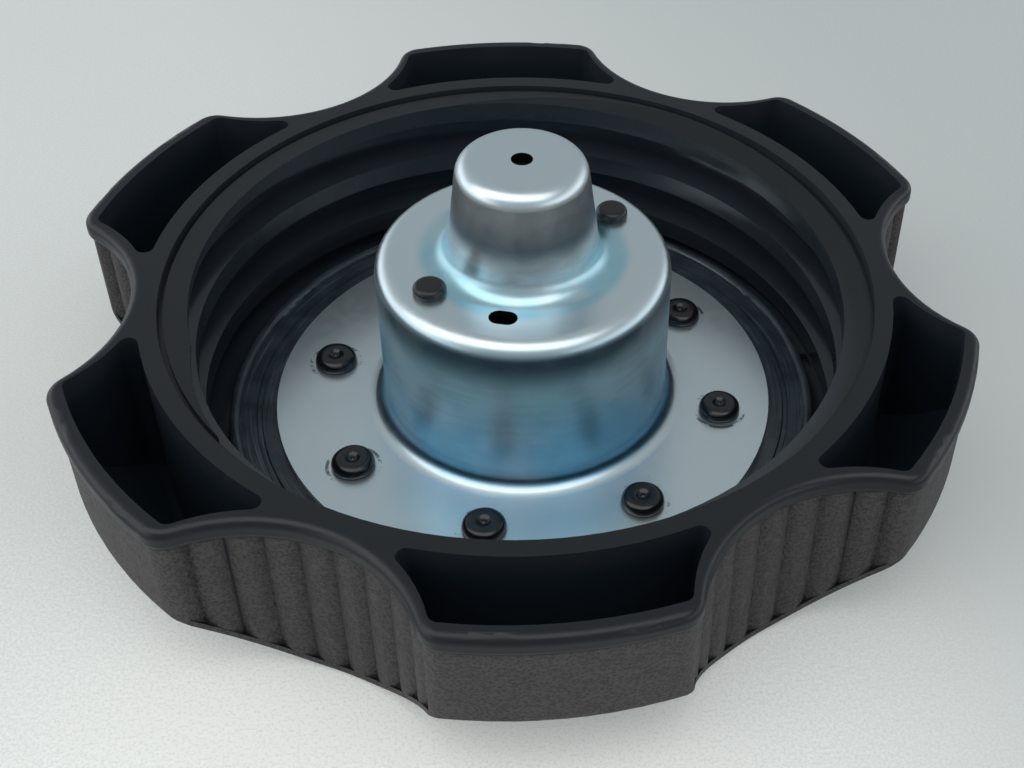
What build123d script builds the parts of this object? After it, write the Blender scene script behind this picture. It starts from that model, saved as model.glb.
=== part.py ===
"""Vented screw-on fuel filler cap for a 3.5 inch filler neck, lying on its outer face.

Frame: millimetres, origin on the cap's axis at its outer face, +Z out of the mouth that goes over
the neck, and one lobe of the handwheel facing -Y.
"""

from build123d import *
from math import cos, radians, sin, sqrt
import os

os.makedirs("parts", exist_ok=True)

# Handwheel moulding
body_h = 26.5  # outer face to rim
lobes = 6
lobe_r = 61.0  # 122 mm across the lobes at the rim
valley_r = 50.6  # bottom of each finger scallop
scallop_r = 20.5
corner_r = 3.4
bead_h = 2.9  # smooth bead along the rim
bead_proud = 0.5
bead_top_r = 1.2
bead_under_r = 0.8
wall_t = 2.1
collar_in_r = 46.3
collar_out_r = 49.4
mouth_r = 47.0
mouth_depth = 1.3
floor_z = 3.2
pocket_floor_t = 3.0  # measured upright, over the flat and the conical part of the face
pocket_corner_r = 1.2
face_r = 49.7  # flat middle of the outer face
face_slope = 1.05  # rise of its conical border for each mm outwards
face_edge_r = 4.0
lobe_edge_r = 1.2
room_gap = 0.01

# Grip ribs in the scallops
grip_ribs = 10
grip_pitch = 3.9
grip_crest = 0.42  # depth of a rib's crown below the bead's own face
grip_crease = 1.25
grip_end = 1.0  # the creases stop this far above the face's border

# Coarse neck thread, right-handed
pitch = 8.6
crest_r = 43.3
crest_w = 3.0
thread_base_w = 5.6
thread_root_t = 0.4  # how far the ridge is rooted in the collar
thread_high_z = 27.6  # the ridge's middle past its run-out
thread_low_z = 3.6
thread_middle_z = body_h - 3.0  # the ridge's middle at thread_middle_deg
thread_middle_deg = 60
lead_in_z = body_h - 0.5
run_out_r = 36.95  # an eccentric cutter takes the ridge away over the last part of its turn
run_out_offset = 10.55
run_out_deg = 240
run_out_z = 22.9

# Steel hat
steel_t = 1.0
flange_z = 6.2  # its upper face
flange_r = 34.55
hat_r = 19.6
shoulder_z = 30.3
dome_z = 45.0
dome_base_r = 10.15
dome_top_r = 8.3
dome_hole_r = 1.4
hat_foot_r = 2.4
hat_edge_r = 2.4
flare_r = 2.8
dome_edge_r = 2.3
vent_deg = -105.1
vent_at_r = 13.6
vent_l = 3.7
vent_w = 2.6

# Rivets through flange and gasket
rivets = 8
rivet_at_r = 27.6
rivet_deg = 164.4
rivet_r = 1.6
rivet_head_r = 2.95
rivet_head_h = 1.7
rivet_foot_h = 0.35
rivet_foot_in = 0.15
rivet_cheek_r = 2.2
rivet_cheek_down = 0.42
rivet_crown_r = 1.1
rivet_dimple_r = 0.7
rivet_dimple_floor_r = 0.35
rivet_dimple_d = 0.4
rivet_end_z = 1.2

# Gasket
gasket_in_r = 21.0
gasket_r = 41.0
gasket_z = flange_z - steel_t  # the face that the flange clamps
gasket_bead_z = 6.0
gasket_bead_w = 1.6
gasket_draft = 0.2
gasket_line_r = 37.5  # outer edge of a moulded line
gasket_line_w = 0.9
gasket_line_d = 0.4

# Vent path under the hat
well_r = 17.0
well_z = 2.2
vent_grooves = 4
vent_groove_w = 3.0
vent_groove_l = 28.0

# Valve carrier and its two staked posts
plate_z = 28.1  # its upper face
plate_t = 2.8
plate_r = 18.3
skirt_r = 15.9
skirt_in_r = 13.4
skirt_z = 7.4
post_at_r = 14.43
post_deg = 30.4
post_r = 1.5
post_boss_r = 2.7
post_head_r = 2.15
post_head_h = 1.3
post_head_edge_r = 0.8
post_root = 0.2  # how far the post runs up into its head
port_r = 5.2
seat_r = 8.0
seat_w = 0.9
seat_z = 24.5
guide_in_r = 11.3
guide_z = 12.0
guide_root = 0.5
guide_w = 2.0
guides = 4
o_ring_r = 0.7

# Rollover ball, its cage and its seat
ball_r = 4.0
ball_seat_in_r = 2.9
ball_seat_out_r = 6.6
ball_seat_t = 1.4
ball_gap = 0.05
cage_in_r = 4.5
cage_out_r = 5.8
cage_foot_r = 8.4
cage_foot_t = 1.0
cage_top_z = 40.5
cage_top_t = 1.2
cage_slot_w = 2.6
cage_band_h = 1.0  # solid band above and below the slots
cage_vent_r = 1.6

# Pressure valve, which opens downwards
valve_gap = 0.05
pressure_seal_t = 1.3
pressure_seal_in_r = 5.0
pressure_seal_out_r = 10.4
disc_t = 1.0
disc_r = 11.0
disc_holes = 6
disc_hole_r = 0.6
disc_top_z = seat_z - valve_gap - pressure_seal_t
disc_z = disc_top_z - disc_t
spring_lip_r = 8.2
disc_lip_t = 0.8
disc_lip_h = 0.5
pressure_wire_r = 0.55
pressure_coil_r = 9.0
pressure_turns = 5

# Vacuum valve in the middle of the pressure disc, which opens upwards
stem_r = 1.0
stem_bore_r = 1.06
vacuum_head_r = 4.3
vacuum_head_t = 1.0
vacuum_seal_t = 0.8
stem_end_z = 15.4
stem_groove_r = 0.7
stem_centre_r = 0.01
cup_r = 3.0
cup_z = 16.7
cup_t = 0.5
clip_r = 2.2
clip_t = 0.5
clip_mouth_w = 1.1
vacuum_wire_r = 0.2
vacuum_coil_r = 2.1
vacuum_turns = 5

# Spring retainer, snap ring and filter
retainer_z = 8.4
retainer_t = 1.2
retainer_r = 13.3
retainer_middle_r = 2.5
retainer_holes_at_r = 5.0
retainer_hole_r = 1.3
retainer_lip_t = 1.0
retainer_lip_h = 0.8
snap_wire_r = 0.45
snap_at_r = 13.6
foam_r = 16.5
foam_top_z = 7.2

standing = (Align.CENTER, Align.CENTER, Align.MIN)  # a cylinder from its foot up


def at(radius, angle, z=0.0):
    """Point at a radius and an angle about the axis."""
    return (radius * cos(radians(angle)), radius * sin(radians(angle)), z)


def lobed(radius, valley, corner):
    """Lobed outline: a circle cut by one round scallop between each pair of lobes, corners rounded."""
    with BuildSketch() as outline:
        Circle(radius)
        with PolarLocations(valley + scallop_r, lobes):
            Circle(scallop_r, mode=Mode.SUBTRACT)
        fillet(outline.vertices(), corner)
    return outline.sketch


def ring(outer, inner, low, high):
    """Plain ring about the axis between two heights."""
    with BuildPart() as band:
        with BuildSketch(Plane.XY.offset(low)):
            Circle(outer)
            Circle(inner, mode=Mode.SUBTRACT)
        extrude(amount=high - low)
    return band.part


def coil(coil_r, wire_r, low, high, turns):
    """Compression spring about the axis, standing between two faces."""
    height = high - low - 2 * wire_r
    with BuildPart() as spring:
        with BuildLine(Plane.XY.offset(low + wire_r)) as path:
            Helix(height / turns, height, coil_r)
        with BuildSketch(Plane(origin=path.line @ 0, z_dir=path.line % 0)):
            Circle(wire_r)
        sweep(path=path.line, is_frenet=True)
    return spring.part


def room_above(low):
    """Room above the outer face's flat middle and its conical border, from a height over it."""
    wall_r = lobe_r - bead_proud - room_gap
    with BuildPart() as room:
        with BuildSketch(Plane.XZ):
            with BuildLine():
                lower = FilletPolyline(
                    (0, low),
                    (face_r, low),
                    (wall_r, low + (wall_r - face_r) * face_slope),
                    (wall_r, body_h + 1),
                    radius=[face_edge_r, lobe_edge_r],
                )
                Polyline(lower @ 1, (0, body_h + 1), (0, low))
            make_face()
        revolve()
    return room.part


# Cap body: one moulding. First the smooth bead that runs round the rim.
with BuildPart() as rim_bead:
    with BuildSketch(Plane.XY.offset(body_h - bead_h)):
        add(lobed(lobe_r, valley_r, corner_r))
    extrude(amount=bead_h)
    fillet(rim_bead.edges().group_by(Axis.Z)[-1], bead_top_r)
    fillet(rim_bead.edges().group_by(Axis.Z)[0], bead_under_r)

# The scallops' grip ribs are what a wavy cutter leaves of the wall under the bead.
def rib_point(ribs_along, depth):
    """Point some ribs along the scallop from its middle, and a depth into the wall."""
    turn = ribs_along * grip_pitch / scallop_r
    reach = scallop_r + depth
    return (valley_r + scallop_r - reach * cos(turn), reach * sin(turn))


with BuildPart() as grip_cutters:
    with BuildSketch() as grip_profile:
        with BuildLine():
            for rib in range(grip_ribs):
                along = rib - grip_ribs / 2
                ThreePointArc(
                    rib_point(along, grip_crease),
                    rib_point(along + 0.5, grip_crest),
                    rib_point(along + 1, grip_crease),
                )
            last = rib_point(grip_ribs / 2, grip_crease)
            Polyline(
                last,
                (last[0] + scallop_r, last[1]),
                (last[0] + scallop_r, -last[1]),
                (last[0], -last[1]),
            )
        make_face()
    with PolarLocations(0, lobes):
        add(extrude(grip_profile.sketch, amount=body_h - bead_h + bead_under_r, mode=Mode.PRIVATE))
    add(room_above(grip_end), mode=Mode.INTERSECT)

# A pocket is cored out of each lobe, outside the collar.
with BuildPart() as pocket_cores:
    with BuildSketch():
        add(lobed(lobe_r - wall_t, valley_r - wall_t, corner_r - wall_t))
    extrude(amount=body_h + 1)
    add(room_above(pocket_floor_t), mode=Mode.INTERSECT)
    with BuildSketch():
        Circle(collar_out_r)
    extrude(amount=body_h + 1, mode=Mode.SUBTRACT)
    upright = pocket_cores.edges().filter_by(lambda edge: edge.bounding_box().size.Z > body_h / 2)
    against_collar = upright.filter_by(
        lambda edge: all(abs(Vector(v.X, v.Y).length - collar_out_r) < 0.01 for v in edge.vertices())
    )
    fillet(against_collar, pocket_corner_r)

# The coarse thread is a ridge carried down a helix, kept between its lead-in and the floor.
thread_low_deg = thread_middle_deg + 360 * (thread_low_z - thread_middle_z) / pitch
with BuildPart() as thread_ridge:
    with BuildLine(Plane.XY.offset(thread_low_z)) as helix:
        Helix(pitch, thread_high_z - thread_low_z, collar_in_r)
    with BuildSketch(Plane(origin=helix.line @ 0, x_dir=(1, 0, 0), z_dir=helix.line % 0)):
        Polygon(
            (thread_root_t, -thread_base_w / 2),
            (thread_root_t, thread_base_w / 2),
            (crest_r - collar_in_r, crest_w / 2),
            (crest_r - collar_in_r, -crest_w / 2),
            align=None,
        )
    sweep(path=helix.line, is_frenet=True)
with BuildPart() as neck_thread:
    add(ring(collar_in_r + 2, crest_r - 1, floor_z - 0.5, lead_in_z))
    add(thread_ridge.part.rotate(Axis.Z, thread_low_deg), mode=Mode.INTERSECT)
    with Locations(at(run_out_offset, run_out_deg, run_out_z)):
        Cylinder(run_out_r, pitch, align=standing, mode=Mode.SUBTRACT)

with BuildPart() as mouth_core:
    with BuildSketch(Plane.XY.offset(floor_z)):
        Circle(collar_in_r)
    extrude(amount=body_h)
    add(neck_thread.part, mode=Mode.SUBTRACT)

with BuildPart() as cap_body:
    with BuildSketch():
        add(lobed(lobe_r - bead_proud, valley_r - bead_proud, corner_r))
    extrude(amount=body_h - bead_h / 2)
    add(room_above(0), mode=Mode.INTERSECT)
    add(grip_cutters.part, mode=Mode.SUBTRACT)
    add(rim_bead.part)
    add(pocket_cores.part, mode=Mode.SUBTRACT)
    add(mouth_core.part, mode=Mode.SUBTRACT)
    add(ring(mouth_r, collar_in_r, body_h - mouth_depth, body_h), mode=Mode.SUBTRACT)
    with BuildSketch(Plane.XY.offset(well_z)):
        Circle(well_r)
        with PolarLocations(well_r - 2 + vent_groove_l / 2, vent_grooves, rivet_deg + 180 / rivets):
            Rectangle(vent_groove_l, vent_groove_w)
    extrude(amount=body_h, mode=Mode.SUBTRACT)
    with BuildSketch(Plane.XY.offset(rivet_end_z)):
        with PolarLocations(rivet_at_r, rivets, rivet_deg):
            Circle(rivet_r)
    extrude(amount=body_h, mode=Mode.SUBTRACT)
cap_body.part.label = "cap_body"
export_step(cap_body.part, "parts/cap_body.step")


# Neck gasket: a flat rubber ring under the flange with a raised bead for the neck's mouth.
with BuildPart() as neck_gasket:
    with BuildSketch(Plane.XZ):
        with BuildLine():
            Polyline(
                (gasket_r - gasket_bead_w, gasket_z),
                (gasket_line_r, gasket_z),
                (gasket_line_r - gasket_draft, gasket_z - gasket_line_d),
                (gasket_line_r - gasket_line_w + gasket_draft, gasket_z - gasket_line_d),
                (gasket_line_r - gasket_line_w, gasket_z),
                (gasket_in_r, gasket_z),
                (gasket_in_r, floor_z),
                (gasket_r - gasket_draft, floor_z),
                (gasket_r, gasket_z),
            )
            ThreePointArc(
                (gasket_r, gasket_z),
                (gasket_r - gasket_bead_w / 2, gasket_bead_z),
                (gasket_r - gasket_bead_w, gasket_z),
            )
        make_face()
    revolve()
    with BuildSketch(Plane.XY.offset(floor_z)):
        with PolarLocations(rivet_at_r, rivets, rivet_deg):
            Circle(rivet_r)
    extrude(amount=body_h, mode=Mode.SUBTRACT)
neck_gasket.part.label = "neck_gasket"
export_step(neck_gasket.part, "parts/neck_gasket.step")

# Hat: one deep-drawn steel pressing, a flange, a wide cylinder and a tapered dome.
with BuildPart() as hat_housing:
    with BuildSketch(Plane.XZ):
        with BuildLine() as outer_face:
            FilletPolyline(
                (flange_r, flange_z),
                (hat_r, flange_z),
                (hat_r, shoulder_z),
                (dome_base_r, shoulder_z),
                (dome_top_r, dome_z),
                (dome_hole_r, dome_z),
                radius=[hat_foot_r, hat_edge_r, flare_r, dome_edge_r],
            )
            offset(amount=steel_t, side=Side.LEFT)
        make_face()
    revolve()
    with BuildSketch(Plane.XY):
        with PolarLocations(rivet_at_r, rivets, rivet_deg):
            Circle(rivet_r)
        with PolarLocations(post_at_r, 2, post_deg):
            Circle(post_r)
        with Locations(Location(at(vent_at_r, vent_deg), (0, 0, vent_deg + 90))):
            SlotOverall(vent_l, vent_w)
    extrude(amount=dome_z, mode=Mode.SUBTRACT)
hat_housing.part.label = "hat_housing"
export_step(hat_housing.part, "parts/hat_housing.step")

# Rivets: black domed heads with a dimple, driven through flange and gasket into the floor.
with BuildPart() as flange_rivets:
    with BuildSketch(Plane.XZ) as rivet_half:
        with BuildLine():
            head_z = flange_z + rivet_head_h
            dimple_floor = (rivet_dimple_floor_r, head_z - rivet_dimple_d)
            Polyline(
                dimple_floor,
                (0, head_z - rivet_dimple_d),
                (0, rivet_end_z),
                (rivet_r, rivet_end_z),
                (rivet_r, flange_z),
                (rivet_head_r - rivet_foot_in, flange_z),
                (rivet_head_r, flange_z + rivet_foot_h),
            )
            ThreePointArc(
                (rivet_head_r, flange_z + rivet_foot_h),
                (rivet_cheek_r, head_z - rivet_cheek_down),
                (rivet_crown_r, head_z),
            )
            Polyline((rivet_crown_r, head_z), (rivet_dimple_r, head_z), dimple_floor)
        make_face()
    one_rivet = revolve(mode=Mode.PRIVATE)
    with PolarLocations(rivet_at_r, rivets, rivet_deg):
        add(one_rivet)
flange_rivets.part.label = "flange_rivets"
export_step(flange_rivets.part, "parts/flange_rivets.step")

# Valve carrier: a black moulding staked under the shoulder, with the valve seat and its skirt.
with BuildPart() as valve_carrier:
    with BuildSketch(Plane.XY.offset(plate_z - plate_t)):
        Circle(plate_r)
    extrude(amount=plate_t)
    with BuildSketch(Plane.XY.offset(skirt_z)):
        Circle(skirt_r)
        Circle(skirt_in_r, mode=Mode.SUBTRACT)
    extrude(amount=plate_z - plate_t - skirt_z)
    with BuildSketch(Plane.XY.offset(seat_z)):
        Circle(seat_r + seat_w / 2)
        Circle(seat_r - seat_w / 2, mode=Mode.SUBTRACT)
    extrude(amount=plate_z - plate_t - seat_z)
    with BuildSketch(Plane.XY.offset(plate_z)):
        with PolarLocations(post_at_r, 2, post_deg):
            Circle(post_boss_r)
    extrude(amount=shoulder_z - steel_t - plate_z)
    with BuildSketch(Plane.XY.offset(plate_z)):
        with PolarLocations(post_at_r, 2, post_deg):
            Circle(post_r)
    extrude(amount=shoulder_z - plate_z + post_root)
    with BuildSketch(Plane.XY.offset(shoulder_z)):
        with PolarLocations(post_at_r, 2, post_deg):
            Circle(post_head_r)
    extrude(amount=post_head_h)
    fillet(valve_carrier.edges().group_by(Axis.Z)[-1], post_head_edge_r)
    with BuildSketch(Plane.XY.offset(guide_z)):
        with PolarLocations((skirt_in_r + guide_root + guide_in_r) / 2, guides, 45):
            Rectangle(skirt_in_r + guide_root - guide_in_r, guide_w)
    extrude(amount=plate_z - plate_t - guide_z)
    Cylinder(port_r, plate_z, align=standing, mode=Mode.SUBTRACT)
    with Locations((0, 0, plate_z - ball_seat_t)):
        Cylinder(ball_seat_out_r, ball_seat_t, align=standing, mode=Mode.SUBTRACT)
    with Locations((0, 0, plate_z - plate_t / 2)):
        Torus(plate_r + 0.3 - o_ring_r, o_ring_r, mode=Mode.SUBTRACT)
    with Locations((0, 0, retainer_z - snap_wire_r)):
        Torus(snap_at_r, snap_wire_r, mode=Mode.SUBTRACT)
valve_carrier.part.label = "valve_carrier"
export_step(valve_carrier.part, "parts/valve_carrier.step")

# O-ring that seals the carrier's edge in the hat.
with BuildPart() as carrier_o_ring:
    with Locations((0, 0, plate_z - plate_t / 2)):
        Torus(plate_r + 0.3 - o_ring_r, o_ring_r)
carrier_o_ring.part.label = "carrier_o_ring"
export_step(carrier_o_ring.part, "parts/carrier_o_ring.step")

# Rollover ball: a steel ball that closes the port when the cap is turned over, as it lies here.
ball_seat_z = plate_z - ball_seat_t
with BuildPart() as ball_seat:
    add(ring(ball_seat_out_r, ball_seat_in_r, ball_seat_z, plate_z))
ball_seat.part.label = "ball_seat"
export_step(ball_seat.part, "parts/ball_seat.step")

ball_z = plate_z + sqrt(ball_r**2 - ball_seat_in_r**2) + ball_gap
with BuildPart() as rollover_ball:
    with Locations((0, 0, ball_z)):
        Sphere(ball_r)
rollover_ball.part.label = "rollover_ball"
export_step(rollover_ball.part, "parts/rollover_ball.step")

with BuildPart() as ball_cage:
    add(ring(cage_foot_r, cage_in_r, plate_z, plate_z + cage_foot_t))
    add(ring(cage_out_r, cage_in_r, plate_z, cage_top_z))
    add(ring(cage_out_r, cage_vent_r, cage_top_z - cage_top_t, cage_top_z))
    with BuildSketch(Plane.XY.offset(plate_z + cage_foot_t + cage_band_h)):
        with PolarLocations(cage_out_r, guides):
            Rectangle(cage_out_r, cage_slot_w)
    slot_h = cage_top_z - cage_top_t - plate_z - cage_foot_t - 2 * cage_band_h
    extrude(amount=slot_h, mode=Mode.SUBTRACT)
ball_cage.part.label = "ball_cage"
export_step(ball_cage.part, "parts/ball_cage.step")

# Pressure valve: a steel disc with a rubber face, held up on its seat by the large spring.
with BuildPart() as pressure_disc:
    add(ring(disc_r, stem_bore_r, disc_z, disc_top_z))
    add(ring(spring_lip_r, spring_lip_r - disc_lip_t, disc_z - disc_lip_h, disc_z))
    with BuildSketch(Plane.XY.offset(disc_z)):
        with PolarLocations((stem_bore_r + vacuum_head_r) / 2, disc_holes):
            Circle(disc_hole_r)
    extrude(amount=disc_t, mode=Mode.SUBTRACT)
pressure_disc.part.label = "pressure_disc"
export_step(pressure_disc.part, "parts/pressure_disc.step")

with BuildPart() as pressure_seal:
    add(ring(pressure_seal_out_r, pressure_seal_in_r, disc_top_z, disc_top_z + pressure_seal_t))
pressure_seal.part.label = "pressure_seal"
export_step(pressure_seal.part, "parts/pressure_seal.step")

with BuildPart() as pressure_spring:
    add(coil(pressure_coil_r, pressure_wire_r, retainer_z + retainer_t, disc_z, pressure_turns))
pressure_spring.part.label = "pressure_spring"
export_step(pressure_spring.part, "parts/pressure_spring.step")

# Vacuum valve: a mushroom valve through the disc, pulled down on its seat by the small spring.
vacuum_head_z = disc_top_z + valve_gap + vacuum_seal_t
with BuildPart() as vacuum_valve:
    add(ring(vacuum_head_r, stem_centre_r, vacuum_head_z, vacuum_head_z + vacuum_head_t))
    with Locations((0, 0, stem_end_z)):
        Cylinder(stem_r, vacuum_head_z + vacuum_head_t - stem_end_z, align=standing)
    add(ring(clip_r, stem_groove_r, cup_z - clip_t, cup_z), mode=Mode.SUBTRACT)
vacuum_valve.part.label = "vacuum_valve"
export_step(vacuum_valve.part, "parts/vacuum_valve.step")

with BuildPart() as vacuum_seal:
    add(ring(vacuum_head_r - 0.1, stem_r, disc_top_z + valve_gap, vacuum_head_z))
vacuum_seal.part.label = "vacuum_seal"
export_step(vacuum_seal.part, "parts/vacuum_seal.step")

with BuildPart() as vacuum_spring:
    add(coil(vacuum_coil_r, vacuum_wire_r, cup_z + cup_t, disc_z, vacuum_turns))
vacuum_spring.part.label = "vacuum_spring"
export_step(vacuum_spring.part, "parts/vacuum_spring.step")

with BuildPart() as spring_cup:
    add(ring(cup_r, stem_r, cup_z, cup_z + cup_t))
spring_cup.part.label = "spring_cup"
export_step(spring_cup.part, "parts/spring_cup.step")

with BuildPart() as stem_clip:
    with BuildSketch(Plane.XY.offset(cup_z - clip_t)):
        Circle(clip_r)
        Circle(stem_groove_r, mode=Mode.SUBTRACT)
        with Locations((clip_r / 2, 0)):
            Rectangle(clip_r, clip_mouth_w, mode=Mode.SUBTRACT)
    extrude(amount=clip_t)
stem_clip.part.label = "stem_clip"
export_step(stem_clip.part, "parts/stem_clip.step")

# Spring retainer: a perforated steel plate that a snap ring holds in the skirt.
with BuildPart() as spring_retainer:
    add(ring(retainer_r, retainer_middle_r, retainer_z, retainer_z + retainer_t))
    lip_z = retainer_z + retainer_t + retainer_lip_h
    add(ring(spring_lip_r, spring_lip_r - retainer_lip_t, retainer_z, lip_z))
    with BuildSketch(Plane.XY.offset(retainer_z)):
        with PolarLocations(retainer_holes_at_r, disc_holes):
            Circle(retainer_hole_r)
    extrude(amount=retainer_t, mode=Mode.SUBTRACT)
spring_retainer.part.label = "spring_retainer"
export_step(spring_retainer.part, "parts/spring_retainer.step")

with BuildPart() as snap_ring:
    with BuildSketch(Plane(origin=(snap_at_r, 0, retainer_z - snap_wire_r), z_dir=(0, 1, 0))):
        Circle(snap_wire_r)
    revolve(axis=Axis.Z, revolution_arc=330)
snap_ring.part.label = "snap_ring"
export_step(snap_ring.part, "parts/snap_ring.step")

# Filter: a foam disc in the floor's well that keeps dust out of the valves.
with BuildPart() as filter_foam:
    with Locations((0, 0, well_z)):
        Cylinder(foam_r, foam_top_z - well_z, align=standing)
filter_foam.part.label = "filter_foam"
export_step(filter_foam.part, "parts/filter_foam.step")
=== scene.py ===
from math import cos, pi, radians, sin

import bpy
import numpy as np
from mathutils import Matrix, Vector


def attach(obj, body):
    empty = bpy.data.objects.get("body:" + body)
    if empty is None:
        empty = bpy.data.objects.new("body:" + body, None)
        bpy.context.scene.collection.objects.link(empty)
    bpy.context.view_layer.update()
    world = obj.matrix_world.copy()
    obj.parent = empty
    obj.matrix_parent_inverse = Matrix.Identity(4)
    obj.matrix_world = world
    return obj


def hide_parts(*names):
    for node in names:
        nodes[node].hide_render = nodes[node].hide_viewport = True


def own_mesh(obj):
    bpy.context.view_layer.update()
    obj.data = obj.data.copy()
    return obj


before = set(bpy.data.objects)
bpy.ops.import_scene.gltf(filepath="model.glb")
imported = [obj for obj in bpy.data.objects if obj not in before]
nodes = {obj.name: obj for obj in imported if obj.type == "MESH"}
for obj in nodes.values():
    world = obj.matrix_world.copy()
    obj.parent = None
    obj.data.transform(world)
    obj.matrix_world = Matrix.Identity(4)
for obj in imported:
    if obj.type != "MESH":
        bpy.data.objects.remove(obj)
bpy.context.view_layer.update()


# ---- camera -------------------------------------------------------------------------------------
# Looks down into the open side of the cap, from a little left of the lobe that faces -Y.
# Distances are in units of the mouth's radius, so the camera keeps its place if the size changes.
mouth_radius = 0.047
rim_height = 0.0265
turn = radians(12.191)
tilt = radians(42.578)
lean = radians(4.786)
away = Vector((-cos(tilt) * sin(turn), -cos(tilt) * cos(turn), sin(tilt)))
level = Vector((cos(turn), -sin(turn), 0.0))
upright = away.cross(level)
across = cos(lean) * level + sin(lean) * upright
upward = -sin(lean) * level + cos(lean) * upright
eye_back, eye_right, eye_down = 4.3245, 0.4989, 0.3109
eye_step = eye_back * away + eye_right * across - eye_down * upward
eye = Vector((0.0, 0.0, rim_height)) + mouth_radius * eye_step

lens = bpy.data.cameras.new("camera")
lens.lens = 53.525
lens.sensor_width = 36.0
lens.shift_x = -0.1836
lens.clip_start = 0.01
camera = bpy.data.objects.new("camera", lens)
bpy.context.scene.collection.objects.link(camera)
camera.matrix_world = Matrix((
    (across.x, upward.x, away.x, eye.x),
    (across.y, upward.y, away.y, eye.y),
    (across.z, upward.z, away.z, eye.z),
    (0.0, 0.0, 0.0, 1.0),
))
bpy.context.scene.camera = camera


# ---- floor and light ----------------------------------------------------------------------------
# A sheet of pale uncoated card under the cap, with the tooth of its fibres. One long soft lamp
# hangs over the near left corner. The room is even and pale, but brighter low at its two sides.
def tone(code):
    """An sRGB colour such as "1A2B3C" as linear red, green, blue and a full alpha."""
    part = np.array([int(code[i:i + 2], 16) for i in (0, 2, 4)]) / 255.0
    linear = np.where(part <= 0.04045, part / 12.92, ((part + 0.055) / 1.055) ** 2.4)
    return (*linear.tolist(), 1.0)


def add(tree, kind, inputs, out=0, **settings):
    """Adds a node of that kind with its settings, and its inputs as values or other nodes' outputs.

    Gives back the output with that name or number, or several for a slice. A numbered input is
    the node's own: Map Range turns the range 1 to 2 into 3 to 4, or into 0 to 1 where those are
    left out, and Mix goes from colour 6 to colour 7, or number 2 to number 3, by its share 0.
    """
    node = tree.nodes.new("ShaderNode" + kind)
    for name, value in settings.items():
        setattr(node, name, value)
    for name, value in inputs.items():
        if isinstance(value, bpy.types.NodeSocket):
            tree.links.new(value, node.inputs[name])
        else:
            node.inputs[name].default_value = value
    return node.outputs[out] if node.outputs else node


def new_material(name):
    """An empty material: itself, its node tree, and the object's own coordinates in metres."""
    material = bpy.data.materials.new(name)
    material.use_nodes = True
    material.node_tree.nodes.clear()
    return material, material.node_tree, add(material.node_tree, "TexCoord", {}, "Object")


# Card fibres are about 0.03 mm thick, too fine to show, so the tooth is drawn at 0.4 mm.
card, tree, here = new_material("uncoated_card")
cloud = add(tree, "TexNoise", {"Vector": here, "Scale": 1 / 0.08, "Detail": 2.0})
tooth = add(tree, "TexNoise", {"Vector": here, "Scale": 1 / 0.0004, "Detail": 3.0, "Roughness": 0.75})
crumb = add(tree, "TexNoise", {"Vector": here, "Scale": 1 / 0.0011, "Detail": 4.0, "Roughness": 0.8})
pale = add(tree, "Mix", {0: cloud, 6: tone("C6CAC9"), 7: tone("CED1CF")}, 2, data_type="RGBA")

# The card is painted a little greyer to the right of the cap and behind it, as painted shade where the lamp
# falls off, and paler just in front, as a painted pool of light.
painted_shade_way, painted_light_spot = (0.91, 0.41, 0.0), (-0.02, -0.075, 0.0)
over_card = add(tree, "VectorMath", {0: here, 1: painted_shade_way}, "Value", operation="DOT_PRODUCT")
dim = add(tree, "MapRange", {0: over_card, 1: -0.03, 2: 0.12}, interpolation_type="SMOOTHSTEP")
painted_shade_tone = add(tree, "Mix", {0: dim, 6: pale, 7: tone("AAAFAF")}, 2, data_type="RGBA")
from_spot = add(tree, "VectorMath", {0: here, 1: painted_light_spot}, "Value", operation="DISTANCE")
near = add(tree, "MapRange", {0: from_spot, 1: 0.10, 2: 0.03}, interpolation_type="SMOOTHSTEP")
pale = add(tree, "Mix", {0: near, 6: painted_shade_tone, 7: tone("EEF0ED")}, 2, data_type="RGBA")
shade = add(tree, "MapRange", {0: tooth, 1: 0.3, 2: 0.7, 3: 0.0, 4: 0.5}, interpolation_type="SMOOTHSTEP")
flecks = add(tree, "MapRange", {0: crumb, 1: 0.64, 2: 0.74, 3: 0.0, 4: 0.35}, interpolation_type="SMOOTHSTEP")
toothed = add(tree, "Mix", {0: shade, 6: pale, 7: tone("B9BDBD")}, 2, data_type="RGBA")
ground = add(tree, "Mix", {0: flecks, 6: toothed, 7: tone("A9AEAE")}, 2, data_type="RGBA")

# To the camera alone it gives off a little of its own colour, so that it stays pale without more
# light on the cap.
card_glow = 0.28
card_seen = add(tree, "LightPath", {}, "Is Camera Ray")
add(tree, "OutputMaterial", {"Surface": add(tree, "BsdfPrincipled", {
    "Base Color": ground, "Roughness": 0.8, "Emission Color": ground,
    "Emission Strength": add(tree, "Math", {0: card_seen, 1: card_glow}, operation="MULTIPLY"),
    "Normal": add(tree, "Bump", {"Height": tooth, "Distance": 0.00004, "Strength": 1.0}),
})})

# It reaches 12 m each way, so that its edge stays out of sight from low down.
floor_edge = 12.0
floor_corners = [
    (-floor_edge, -floor_edge, 0.0), (floor_edge, -floor_edge, 0.0),
    (floor_edge, floor_edge, 0.0), (-floor_edge, floor_edge, 0.0),
]
floor_mesh = bpy.data.meshes.new("floor")
floor_mesh.from_pydata(floor_corners, [], [(0, 1, 2, 3)])
floor = bpy.data.objects.new("floor", floor_mesh)
bpy.context.scene.collection.objects.link(floor)
floor.data.materials.append(card)

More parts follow.
